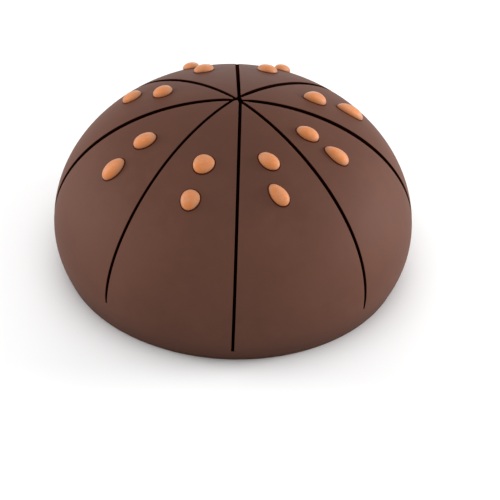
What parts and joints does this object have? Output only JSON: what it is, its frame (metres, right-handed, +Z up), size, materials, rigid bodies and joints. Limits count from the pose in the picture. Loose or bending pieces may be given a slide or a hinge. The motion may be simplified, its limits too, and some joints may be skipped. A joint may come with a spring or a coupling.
{
  "type": "chocolate truffle cake",
  "caption": "Glazed chocolate dome cake scored into even portions, with pairs of caramel-coloured chocolate drops, standing on its flat underside.",
  "frame": {"origin": "middle of the flat underside", "axes": "+Z up through the crown, -Y towards the front cut, +X to the right of someone who faces that cut"},
  "size_m": [0.2, 0.2, 0.1065],
  "materials": {
    "chocolate_glaze": "smooth satin milk-chocolate glaze, near black inside the cuts",
    "caramel_chocolate": "smooth caramel-coloured chocolate with a soft sheen"
  },
  "bodies": {
    "root": {"cake": "chocolate_glaze", "drop_front_left_inner": "caramel_chocolate", "drop_front_left_outer": "caramel_chocolate", "drop_left_front_inner": "caramel_chocolate", "drop_left_front_outer": "caramel_chocolate", "drop_left_back_inner": "caramel_chocolate", "drop_left_back_outer": "caramel_chocolate", "drop_back_left_inner": "caramel_chocolate", "drop_back_left_outer": "caramel_chocolate", "drop_back_right_inner": "caramel_chocolate", "drop_back_right_outer": "caramel_chocolate", "drop_right_back_inner": "caramel_chocolate", "drop_right_back_outer": "caramel_chocolate", "drop_right_front_inner": "caramel_chocolate", "drop_right_front_outer": "caramel_chocolate", "drop_front_right_inner": "caramel_chocolate", "drop_front_right_outer": "caramel_chocolate"}
  },
  "joints": []
}
